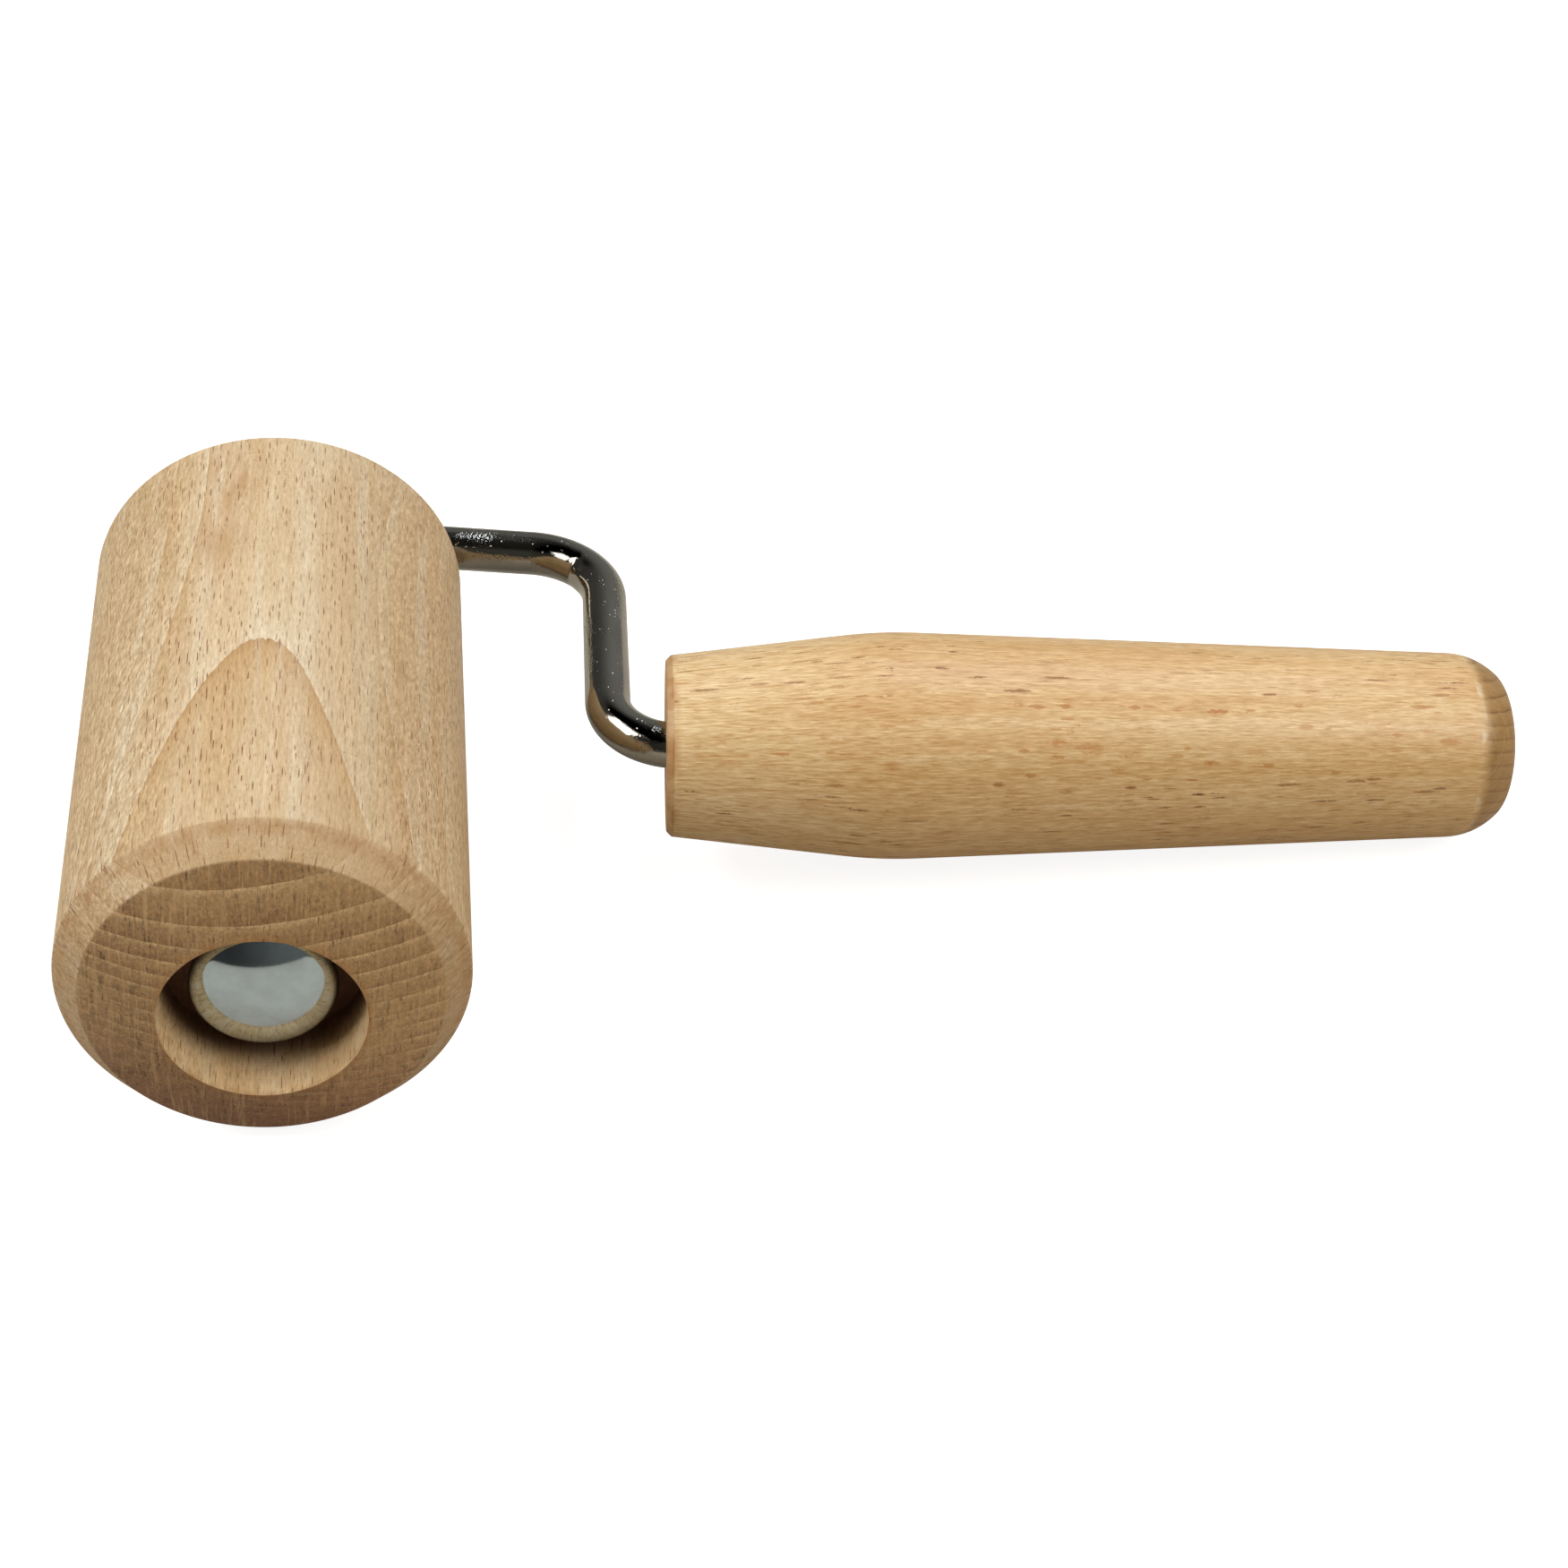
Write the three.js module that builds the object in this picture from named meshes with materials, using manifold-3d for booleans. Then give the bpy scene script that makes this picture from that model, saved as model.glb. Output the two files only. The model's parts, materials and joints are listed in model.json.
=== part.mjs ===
// Dough hand roller: a beech roller that spins on a bent steel rod, with a beech handle on its other end.
// Millimetres, +Z up. The roller's axle lies along Y, and the handle reaches along +X, down to the table.
import * as THREE from 'three';
import { mergeVertices } from 'three/addons/utils/BufferGeometryUtils.js';
import Module from 'manifold-3d';

const wasm = await Module();
wasm.setup();

// Roller
const rollerRadius = 25;
const rollerLength = 95; // from rim to rim of the two counterbores
const domeRise = 3.75; // height of the turned, domed end above the bevel
const bevelLength = 4;
const bevelDepth = 3.2;
const counterboreRadius = 12.5;
const counterboreDepth = 11;

// Bent rod
const rodRadius = 3;
const rodChamfer = 0.6;
const fingerGap = 16; // between the roller and the arm beside it
const crossLean = THREE.MathUtils.degToRad(5.8); // the cross arm leans forward, towards the handle
const armLean = THREE.MathUtils.degToRad(2); // the return arm spreads towards the rear
const rearBendRadius = 9;
const cornerBendRadius = 11;
const handleBendRadius = 9.2;
const bendInside = 1.7; // the last bend ends this far inside the handle
const tangDepth = 48; // length of rod inside the handle
const earReach = 1.5; // how far the pinched stop stands out of the rod on each side
const earPinch = 0.9; // how far the pinch flattens the rod on its other sides
const earLength = 2.6;

// Handle
const handleLength = 114;
const handleOffset = 4.4; // its axis lies this far behind the roller's mid length
const neckRadius = 12.1;
const neckBevel = 0.8;
const crestRadius = 15.36; // where the two tapers would meet
const crestPlace = 28.4; // from the neck
const crestBlend = 5; // length of taper on each side that the crest rounds off
const tailRadius = 12.55; // where the taper would meet the butt's bevel
const tailBlend = 2.2;
const buttLength = 3.8; // length of the butt's bevel
const buttRadius = 9.6; // where the bevel would meet the flat face
const buttBlend = 1.4;
const drillPoint = 1.9; // depth of the conical bottom of the blind bore

// Cap, its toothed spring nut, and the thrust washers
const capRadius = 9;
const capRise = 4.25;
const capCrown = 15.7; // radius of the dome
const capEdge = 1; // width of the rolled shoulder round the dome
const capSkirt = 2.1;
const capWall = 0.6;
const capLip = 2; // width of the lip that is rolled in behind the nut
const nutThickness = 0.5;
const nutRim = 2.4; // width of its flat rim
const nutCone = 1.4; // how far the teeth lean forward
const nutTeeth = 6;
const nutSlot = 1;
const washerRadius = 6;
const washerThickness = 1.6;

// Clearances
const runningGap = 0.3; // round the axle, and between faces that turn on each other
const seatGap = 0.3; // between pieces that are fixed to each other
const crossGap = 0.55; // between the roller's rear rim and the cross arm

// Faces round the circumference
const rollerSides = 80;
const handleSides = 64;
const rodSides = 20;
const smallSides = 40;
const bendSteps = 9;
const arcSteps = 4;

const boreRadius = rodRadius + runningGap;
const rimPlane = rollerLength / 2;
const floorPlane = rimPlane - counterboreDepth;
const washerFace = floorPlane + runningGap + washerThickness;

const finish = {
  rollerBeech: { color: 0xd9b88c, roughness: 0.6, metalness: 0 },
  handleBeech: { color: 0xe2b878, roughness: 0.45, metalness: 0 },
  nickel: { color: 0xb9b4ab, roughness: 0.15, metalness: 1 },
  capSteel: { color: 0xc4c8cc, roughness: 0.1, metalness: 1 },
  springSteel: { color: 0x5c5f66, roughness: 0.4, metalness: 1 },
  washerSteel: { color: 0x9a9ca0, roughness: 0.35, metalness: 1 },
};

function piece(name, geometry, look) {
  const mesh = new THREE.Mesh(geometry, new THREE.MeshStandardMaterial(look));
  mesh.name = name;
  return mesh;
}

// A turned piece: the outline, in radius and height, runs anticlockwise and is closed here.
function turned(outline, sides) {
  const points = outline.getPoints(arcSteps);
  points.push(points[0].clone());
  return new THREE.LatheGeometry(points, sides);
}

// Draws an outline up to a corner and round it: the curve takes the given length of both straights.
function roundCorner(outline, corner, after, blend) {
  const into = corner.clone().sub(outline.currentPoint).normalize();
  const out = after.clone().sub(corner).normalize();
  const from = corner.clone().addScaledVector(into, -blend);
  const to = corner.clone().addScaledVector(out, blend);
  outline.lineTo(from.x, from.y);
  outline.quadraticCurveTo(corner.x, corner.y, to.x, to.y);
}

function solid(geometry) {
  const bare = geometry.clone();
  bare.deleteAttribute('normal');
  bare.deleteAttribute('uv');
  const merged = mergeVertices(bare);
  return new wasm.Manifold(new wasm.Mesh({
    numProp: 3,
    vertProperties: new Float32Array(merged.attributes.position.array),
    triVerts: new Uint32Array(merged.index.array),
  }));
}

function geometryOf(body) {
  const mesh = body.getMesh();
  const geometry = new THREE.BufferGeometry();
  geometry.setAttribute('position', new THREE.BufferAttribute(mesh.vertProperties, mesh.numProp));
  geometry.setIndex(new THREE.BufferAttribute(mesh.triVerts, 1));
  return geometry;
}

// Skins a row of equal rings and closes both ends.
function loft(rings) {
  const sides = rings[0].length;
  const middle = (ring) => {
    const sum = ring.reduce((total, point) => total.add(point), new THREE.Vector3());
    return sum.divideScalar(sides);
  };
  const points = [...rings.flat(), middle(rings[0]), middle(rings[rings.length - 1])];
  const firstCentre = points.length - 2;
  const lastRing = (rings.length - 1) * sides;
  const faces = [];
  for (let side = 0; side < sides; side++) {
    const next = (side + 1) % sides;
    for (let base = 0; base < lastRing; base += sides) {
      faces.push(base + side, base + next, base + sides + side);
      faces.push(base + next, base + sides + next, base + sides + side);
    }
    faces.push(firstCentre, next, side);
    faces.push(firstCentre + 1, lastRing + side, lastRing + next);
  }
  const geometry = new THREE.BufferGeometry().setFromPoints(points);
  geometry.setIndex(faces);
  return geometry;
}

// Beech roller: domed ends with a bevel, a counterbore at each end and a plain bore for the axle.
function roller() {
  const bevelRim = rimPlane - domeRise;
  const bevelRadius = rollerRadius - bevelDepth;
  const domeCentre = (counterboreRadius ** 2 + domeRise ** 2 - bevelRadius ** 2) / (2 * domeRise);
  const domeRadius = Math.hypot(bevelRadius, domeCentre);
  const innerAngle = Math.atan2(domeRise - domeCentre, counterboreRadius);
  const outerAngle = Math.atan2(-domeCentre, bevelRadius);
  const outline = new THREE.Path();
  outline.moveTo(boreRadius, floorPlane);
  outline.lineTo(boreRadius, -floorPlane);
  outline.lineTo(counterboreRadius, -floorPlane);
  outline.lineTo(counterboreRadius, -rimPlane);
  outline.absarc(0, -bevelRim - domeCentre, domeRadius, -innerAngle, -outerAngle, false);
  outline.lineTo(rollerRadius, -bevelRim + bevelLength);
  outline.lineTo(rollerRadius, bevelRim - bevelLength);
  outline.lineTo(bevelRadius, bevelRim);
  outline.absarc(0, bevelRim + domeCentre, domeRadius, outerAngle, innerAngle, false);
  outline.lineTo(counterboreRadius, floorPlane);
  return turned(outline, rollerSides);
}

// Rod: corners of its centre line in the plane of the bends, x away from the roller, y along its axle.
const crossNear = rimPlane + crossGap + counterboreRadius * Math.tan(crossLean);
const crossPlace = crossNear + rodRadius / Math.cos(crossLean);
const armPlace = rollerRadius + fingerGap + rodRadius;
const armRun = Math.tan(armLean);
const crossRun = Math.tan(crossLean);
const cornerX = (armPlace + armRun * (crossPlace - handleOffset)) / (1 + armRun * crossRun);
const rearCorner = new THREE.Vector2(0, crossPlace);
const farCorner = new THREE.Vector2(cornerX, crossPlace - crossRun * cornerX);
const handleCorner = new THREE.Vector2(armPlace, handleOffset);
const lastTurn = Math.PI / 2 + armLean;
const handleStart = armPlace + handleBendRadius * Math.tan(lastTurn / 2) - bendInside;
const tangEnd = new THREE.Vector2(handleStart + tangDepth, handleOffset);

// The cap's base circle, and the rod's tip under its dome.
const capBase = -(washerFace + runningGap + capSkirt);
const domeInside = (capRise - capWall) * Math.sqrt(1 - (rodRadius / (capRadius - capWall)) ** 2);
const rodTip = new THREE.Vector2(0, capBase - domeInside + seatGap);

// One ring of the rod, square to its direction: half as wide in the plane of the bends, thick across it.
function rodRing(place, direction, wide, thick) {
  const ring = [];
  for (let side = 0; side < rodSides; side++) {
    const angle = (side / rodSides) * 2 * Math.PI;
    const across = wide * Math.cos(angle);
    ring.push(new THREE.Vector3(
      place.x - direction.y * across,
      place.y + direction.x * across,
      thick * Math.sin(angle),
    ));
  }
  return ring;
}

// Rings round a bend: an arc that is tangent to both straights of a corner.
function bendRings(before, corner, after, radius) {
  const start = corner.clone().sub(before).normalize();
  const end = after.clone().sub(corner).normalize();
  const turn = Math.atan2(start.cross(end), start.dot(end));
  const tangentLength = radius * Math.tan(Math.abs(turn) / 2);
  const inward = new THREE.Vector2(-start.y, start.x).multiplyScalar(radius * Math.sign(turn));
  const centre = corner.clone().addScaledVector(start, -tangentLength).add(inward);
  const rings = [];
  for (let step = 0; step <= bendSteps; step++) {
    const angle = (turn * step) / bendSteps;
    const place = inward.clone().negate().rotateAround(new THREE.Vector2(), angle).add(centre);
    const direction = start.clone().rotateAround(new THREE.Vector2(), angle);
    rings.push(rodRing(place, direction, rodRadius, rodRadius));
  }
  return rings;
}

// Nickel-plated rod: axle with a pinched stop behind the rear washer, cross arm, return arm and tang.
function bentRod() {
  const alongAxle = new THREE.Vector2(0, 1);
  const alongTang = new THREE.Vector2(1, 0);
  const tipRadius = rodRadius - rodChamfer;
  const axleRing = (y, wide, thick) => rodRing(new THREE.Vector2(0, y), alongAxle, wide, thick);
  const tangRing = (x, radius) => rodRing(new THREE.Vector2(x, handleOffset), alongTang, radius, radius);
  const earStart = washerFace + runningGap;
  const earSlope = earLength / 4;
  const earWide = rodRadius + earReach;
  const earThick = rodRadius - earPinch;
  return loft([
    axleRing(rodTip.y, tipRadius, tipRadius),
    axleRing(rodTip.y + rodChamfer, rodRadius, rodRadius),
    axleRing(earStart, rodRadius, rodRadius),
    axleRing(earStart + earSlope, earWide, earThick),
    axleRing(earStart + earLength - earSlope, earWide, earThick),
    axleRing(earStart + earLength, rodRadius, rodRadius),
    ...bendRings(rodTip, rearCorner, farCorner, rearBendRadius),
    ...bendRings(rearCorner, farCorner, handleCorner, cornerBendRadius),
    ...bendRings(farCorner, handleCorner, tangEnd, handleBendRadius),
    tangRing(tangEnd.x - rodChamfer, rodRadius),
    tangRing(tangEnd.x, tipRadius),
  ]);
}

// Beech handle: two tapers that meet in a rounded crest, a rounded bevel at the butt, and a blind bore.
function handleOutline() {
  const socketRadius = rodRadius + seatGap;
  const socketDepth = tangDepth + seatGap;
  const crest = new THREE.Vector2(crestRadius, crestPlace);
  const tail = new THREE.Vector2(tailRadius, handleLength - buttLength);
  const butt = new THREE.Vector2(buttRadius, handleLength);
  const buttMiddle = new THREE.Vector2(0, handleLength);
  const outline = new THREE.Path();
  outline.moveTo(0, socketDepth + drillPoint);
  outline.lineTo(socketRadius, socketDepth);
  outline.lineTo(socketRadius, 0);
  outline.lineTo(neckRadius - neckBevel, 0);
  outline.lineTo(neckRadius, neckBevel);
  roundCorner(outline, crest, tail, crestBlend);
  roundCorner(outline, tail, butt, tailBlend);
  roundCorner(outline, butt, buttMiddle, buttBlend);
  outline.lineTo(buttMiddle.x, buttMiddle.y);
  return outline.getPoints(arcSteps);
}

// Domed push-on cap: one drawn shell, its lip rolled in behind the nut. Its base circle is at height 0.
function endCap() {
  const inside = capRadius - capWall;
  const insideRise = capRise - capWall;
  const lipRadius = capRadius - capLip;
  const slope = Math.asin((capRadius - capEdge) / capCrown);
  const pull = capCrown * (1 - Math.cos(slope)) - capRise + capEdge * Math.tan(slope);
  const shell = new THREE.Path();
  shell.moveTo(0, -capRise);
  shell.absarc(0, capCrown - capRise, capCrown, -Math.PI / 2, slope - Math.PI / 2, false);
  shell.quadraticCurveTo(capRadius, pull, capRadius, 0);
  shell.absellipse(lipRadius, 0, capLip, capSkirt, 0, Math.PI / 2, false);
  shell.lineTo(lipRadius, capSkirt - capWall);
  shell.absellipse(lipRadius, 0, capLip - capWall, capSkirt - capWall, Math.PI / 2, 0, true);
  shell.absellipse(0, 0, inside, insideRise, 0, -Math.PI / 2, true);
  return new THREE.LatheGeometry(shell.getPoints(arcSteps), smallSides);
}

// Spring nut: a flat rim inside the cap's lip, and teeth that lean forward and bite on the rod.
function springNut() {
  const rimTop = capSkirt - capWall - seatGap;
  const rimBottom = rimTop - nutThickness;
  const lipReach = Math.sqrt(1 - (rimTop / (capSkirt - capWall)) ** 2);
  const rimRadius = capRadius - capLip + (capLip - capWall) * lipReach - seatGap;
  const rootRadius = rimRadius - nutRim;
  const biteRadius = rodRadius + seatGap;
  const outline = new THREE.Path();
  outline.moveTo(biteRadius, rimTop - nutCone);
  outline.lineTo(biteRadius, rimBottom - nutCone);
  outline.lineTo(rootRadius, rimBottom);
  outline.lineTo(rimRadius, rimBottom);
  outline.lineTo(rimRadius, rimTop);
  outline.lineTo(rootRadius, rimTop);
  let body = solid(turned(outline, smallSides));
  const slotDepth = capRise + capSkirt;
  for (let tooth = 0; tooth < nutTeeth; tooth++) {
    const slot = new THREE.BoxGeometry(rootRadius, slotDepth, nutSlot);
    slot.translate(rootRadius / 2, 0, 0);
    slot.rotateY((tooth / nutTeeth) * 2 * Math.PI);
    body = body.subtract(solid(slot));
  }
  return geometryOf(body);
}

function washer() {
  const outline = new THREE.Path();
  outline.moveTo(boreRadius, washerThickness / 2);
  outline.lineTo(boreRadius, -washerThickness / 2);
  outline.lineTo(washerRadius, -washerThickness / 2);
  outline.lineTo(washerRadius, washerThickness / 2);
  return turned(outline, smallSides);
}

// The rod and all that is fixed to it swing down about the axle until the handle touches the table.
const handlePoints = handleOutline();
const droop = Math.min(...handlePoints.map((point) => {
  const x = handleStart + point.y;
  return Math.asin(rollerRadius / Math.hypot(x, point.x)) - Math.atan2(point.x, x);
}));

const held = new THREE.Group();
held.position.z = rollerRadius;
held.rotation.y = droop;
held.add(piece('bent_rod', bentRod(), finish.nickel));

const grip = piece('handle', new THREE.LatheGeometry(handlePoints, handleSides), finish.handleBeech);
grip.position.set(handleStart, handleOffset, 0);
grip.rotation.z = -Math.PI / 2;
held.add(grip);

const cap = piece('end_cap', endCap(), finish.capSteel);
cap.position.y = capBase;
held.add(cap);

const nut = piece('spring_nut', springNut(), finish.springSteel);
nut.position.y = capBase;
held.add(nut);

for (const [name, side] of [['front_washer', -1], ['rear_washer', 1]]) {
  const ring = piece(name, washer(), finish.washerSteel);
  ring.position.y = side * (washerFace - washerThickness / 2);
  held.add(ring);
}

const barrel = piece('roller', roller(), finish.rollerBeech);
barrel.position.z = rollerRadius;

// The origin is on the table, below the middle of the whole tool.
const tool = new THREE.Group();
tool.add(barrel, held);
const extent = new THREE.Box3().setFromObject(tool, true);
const centre = extent.getCenter(new THREE.Vector3());
tool.position.set(-centre.x, -centre.y, -extent.min.z);

export default tool;
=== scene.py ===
# Dough hand roller: turned beech, bent nickel rod and plated fittings, in a white studio.
import json
from math import asin, atan2, cos, hypot, pi, radians, sin, tan
import bpy
import numpy as np
from mathutils import Matrix, Vector


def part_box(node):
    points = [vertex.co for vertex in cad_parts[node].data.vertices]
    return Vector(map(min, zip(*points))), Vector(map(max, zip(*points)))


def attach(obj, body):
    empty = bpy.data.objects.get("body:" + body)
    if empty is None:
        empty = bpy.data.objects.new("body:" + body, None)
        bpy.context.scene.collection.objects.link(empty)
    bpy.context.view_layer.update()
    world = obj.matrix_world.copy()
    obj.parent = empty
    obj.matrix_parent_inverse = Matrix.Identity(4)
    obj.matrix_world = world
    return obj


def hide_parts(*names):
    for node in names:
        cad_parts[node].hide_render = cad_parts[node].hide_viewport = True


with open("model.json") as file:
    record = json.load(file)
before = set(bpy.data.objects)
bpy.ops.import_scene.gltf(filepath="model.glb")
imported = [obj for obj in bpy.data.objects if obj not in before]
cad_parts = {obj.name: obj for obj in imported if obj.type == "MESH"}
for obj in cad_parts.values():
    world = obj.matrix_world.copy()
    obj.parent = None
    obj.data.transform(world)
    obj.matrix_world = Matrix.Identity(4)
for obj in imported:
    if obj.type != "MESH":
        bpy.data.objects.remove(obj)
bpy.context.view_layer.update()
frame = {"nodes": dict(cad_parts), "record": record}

mm = 0.001
rollerLow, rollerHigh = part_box("roller")
axleMid = (rollerLow + rollerHigh) / 2  # middle of the axle, half way along the roller
rollerRadius = (rollerHigh.x - rollerLow.x) / 2 / mm
rollerHalf = (rollerHigh.y - rollerLow.y) / 2 / mm
alongAxle = Vector((0, 1, 0))
buttFace = next(mount for mount in frame["record"]["mounts"] if mount["name"] == "butt_face")
alongHandle = Vector(buttFace["axis"]).normalized()  # the handle droops until it touches the table
outOfPlane = alongHandle.cross(alongAxle)  # square to the plane that the rod is bent in
print("frame read: roller", round(2 * rollerRadius, 2), "x", round(2 * rollerHalf, 2), "mm")


# Grid surfaces

def skin(name, grid, layers, wraps=False, poles=(False, False)):
    # Quads between the rows of a grid of points that close round their columns; the rows also close
    # where the profile is a loop, and a pole row shrinks to one point with triangles round it.
    rows, sides = grid.shape[:2]
    index = np.arange(rows * sides).reshape(rows, sides)
    for row, isPole in zip((0, -1), poles):
        if isPole:
            index[row] = index[row, 0]
    below = index if wraps else index[:-1]
    above = np.roll(index, -1, axis=0) if wraps else index[1:]
    faces = np.stack([below, np.roll(below, -1, 1), np.roll(above, -1, 1), above], -1).reshape(-1, 4)
    used, faces = np.unique(faces, return_inverse=True)
    faces = faces.reshape(-1, 4)
    points = grid.reshape(-1, 3)[used]
    first, second, third, fourth = (points[faces[:, corner]] - points.mean(0) for corner in range(4))
    volume = np.einsum("ij,ij->", first, np.cross(second, third) + np.cross(third, fourth))
    if volume < 0:
        faces = faces[:, ::-1]
    pinched = faces == np.roll(faces, -1, axis=1)
    whole = faces[~pinched.any(1)]
    corners = np.nonzero(~pinched[pinched.any(1)])[1].reshape(-1, 3)
    triangles = np.take_along_axis(faces[pinched.any(1)], corners, axis=1)
    mesh = bpy.data.meshes.new(name)
    mesh.from_pydata(points.tolist(), [], whole.tolist() + triangles.tolist())
    mesh.shade_smooth()
    for layer, values in layers.items():
        values = np.broadcast_to(values, grid.shape[:2] + values.shape[2:])
        isVector = values.ndim == 3
        store = mesh.attributes.new(layer, "FLOAT_VECTOR" if isVector else "FLOAT", "POINT")
        flat = values.reshape(rows * sides, -1)[used].astype(np.float32).ravel()
        store.data.foreach_set("vector" if isVector else "value", flat)
    piece = bpy.data.objects.new(name, mesh)
    bpy.context.scene.collection.objects.link(piece)
    return piece


def rounded(corners, blends, steps=6):
    # Straight runs whose corners are parabolas: the corner pulls a curve that leaves the given
    # length of both runs.
    corners = np.array(corners, float)
    curve = np.linspace(0, 1, steps + 1)[:, None]
    parts = [corners[:1]]
    for before, corner, after, blend in zip(corners, corners[1:], corners[2:], blends):
        start = corner + blend * (before - corner) / np.linalg.norm(before - corner)
        end = corner + blend * (after - corner) / np.linalg.norm(after - corner)
        bend = (1 - curve) ** 2 * start + 2 * curve * (1 - curve) * corner + curve ** 2 * end
        parts.append(bend if blend else corner[None])
    return np.vstack(parts + [corners[-1:]])


def divided(points, step):
    # The same outline with points added, so that no run is longer than the step.
    runs = np.linalg.norm(np.diff(points, axis=0), axis=1)
    counts = np.maximum(np.ceil(runs / step), 1)
    places = np.concatenate([np.arange(count) / count + run for run, count in enumerate(counts.astype(int))])
    places = np.append(places, len(runs))
    return np.stack([np.interp(places, np.arange(len(points)), column) for column in points.T], 1)


def lathe(name, outline, centre, axis, sides, edges=(), rimWidth=0.8, wraps=False, poles=(False, False),
          flat=None, lean=None):
    # Turned piece: each outline point (radius, height) goes round the axis, so a point is
    # centre + height * axis + radius * (cos * across + sin * upwards). A lean (slope, reach, side) shears
    # the first end, most at height 0 and not at all from the reach onwards.
    axis = np.array(axis)
    across = np.array(Vector(axis).orthogonal().normalized())
    upwards = np.cross(axis, across)
    angle = np.linspace(0, 2 * pi, sides, endpoint=False)[:, None]
    spoke = np.cos(angle) * across + np.sin(angle) * upwards
    radius, height = outline.T[:, :, None, None] * mm
    if lean:
        share = np.clip(1 - height / (lean[1] * mm), 0, 1)
        height = height - lean[0] * share * radius * (spoke @ np.array(lean[2]))[None, :, None]
    grid = np.array(centre) + height * axis + radius * spoke
    slope = np.gradient(outline, axis=0)
    layers = {"endGrain": np.abs(slope[:, :1]) / np.linalg.norm(slope, axis=1)[:, None]}
    if len(edges):
        away = np.linalg.norm(outline[:, None] - np.array(edges)[None], axis=2).min(1)
        layers["rim"] = np.exp(-(away / rimWidth) ** 2)[:, None]  # 1 on an edge
    if flat is not None:  # 1 where the rays lie flat in the surface
        layers["quarterSawn"] = np.abs(spoke @ np.array(flat))[None]
    return skin(name, grid, layers, wraps, poles)


# Shader arithmetic

class Wire:
    # One socket of a material: arithmetic on it adds Math nodes, and add() makes any other node.
    def __init__(self, tree, socket=None):
        self.tree = tree
        self.socket = socket

    def add(self, kind, settings, inputs, out=0):
        node = self.tree.nodes.new("ShaderNode" + kind)
        for key, value in settings.items():
            if key == "stops":
                fillRamp(node.color_ramp, value)
            else:
                setattr(node, key, value)
        for key, value in inputs.items():
            if isinstance(value, Wire):
                self.tree.links.new(value.socket, node.inputs[key])
            else:
                node.inputs[key].default_value = value
        return Wire(self.tree, node.outputs[out] if node.outputs else None)

    def twin(self, out):  # another output of the same node
        return Wire(self.tree, self.socket.node.outputs[out])

    def into(self, shader, key):
        self.tree.links.new(self.socket, shader.inputs[key])

    def math(self, operation, *others):
        return self.add("Math", {"operation": operation}, dict(enumerate((self,) + others)))

    def vector(self, operation, other, out=0):
        return self.add("VectorMath", {"operation": operation}, {0: self, 1: other}, out)

    def part(self, axis):
        return self.add("SeparateXYZ", {}, {0: self}, axis)

    def ease(self, low, high):  # smooth step from 0 at low to 1 at high
        return self.add("MapRange", {"interpolation_type": "SMOOTHSTEP"}, {0: self, 1: low, 2: high})

    def climb(self, low, high):  # straight step
        return self.add("MapRange", {"clamp": True}, {0: self, 1: low, 2: high})

    def blend(self, first, second):  # colours, this wire being the share of the second
        return self.add("Mix", {"data_type": "RGBA"}, {0: self, 6: first, 7: second}, 2)

    def shade(self, amount):  # colour times a value
        return self.add("VectorMath", {"operation": "SCALE"}, {0: self, 3: amount})

    def stain(self, amount, shares):  # colour that gains a share of the amount in each channel
        gain = self.add("VectorMath", {"operation": "MULTIPLY_ADD"}, {0: amount, 1: shares, 2: (1, 1, 1)})
        return self.vector("MULTIPLY", gain)

    def noise(self, stretch, detail=2.0, roughness=0.5):  # grain of the given size along each axis
        return self.add("TexNoise", {}, {"Vector": self.vector("DIVIDE", stretch), "Scale": 1.0,
                                         "Detail": detail, "Roughness": roughness})

    def __add__(self, other):
        return self.math("ADD", other)

    def __radd__(self, other):
        return self.math("ADD", other)

    def __sub__(self, other):
        return self.math("SUBTRACT", other)

    def __rsub__(self, other):
        return self.add("Math", {"operation": "SUBTRACT"}, {0: other, 1: self})

    def __mul__(self, other):
        return self.math("MULTIPLY", other)

    def __rmul__(self, other):
        return self.math("MULTIPLY", other)

    def __truediv__(self, other):
        return self.math("DIVIDE", other)

    def __rtruediv__(self, other):
        return self.add("Math", {"operation": "DIVIDE"}, {0: other, 1: self})

    def __pow__(self, other):
        return self.math("POWER", other)


def fillRamp(ramp, stops):
    while len(ramp.elements) < len(stops):
        ramp.elements.new(1.0)
    for element, (place, colour) in zip(ramp.elements, stops):
        element.position = place
        element.color = colour


def newFinish(name, constants):
    finish = bpy.data.materials.new(name)
    finish.use_nodes = True
    shader = finish.node_tree.nodes["Principled BSDF"]
    for key, value in constants.items():
        shader.inputs[key].default_value = value
    return finish, shader, Wire(finish.node_tree)


def paint(red, green, blue):  # a colour as a paint program shows it, made linear for the shader
    return tuple(((value / 255 + 0.055) / 1.055) ** 2.4 for value in (red, green, blue)) + (1.0,)


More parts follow.
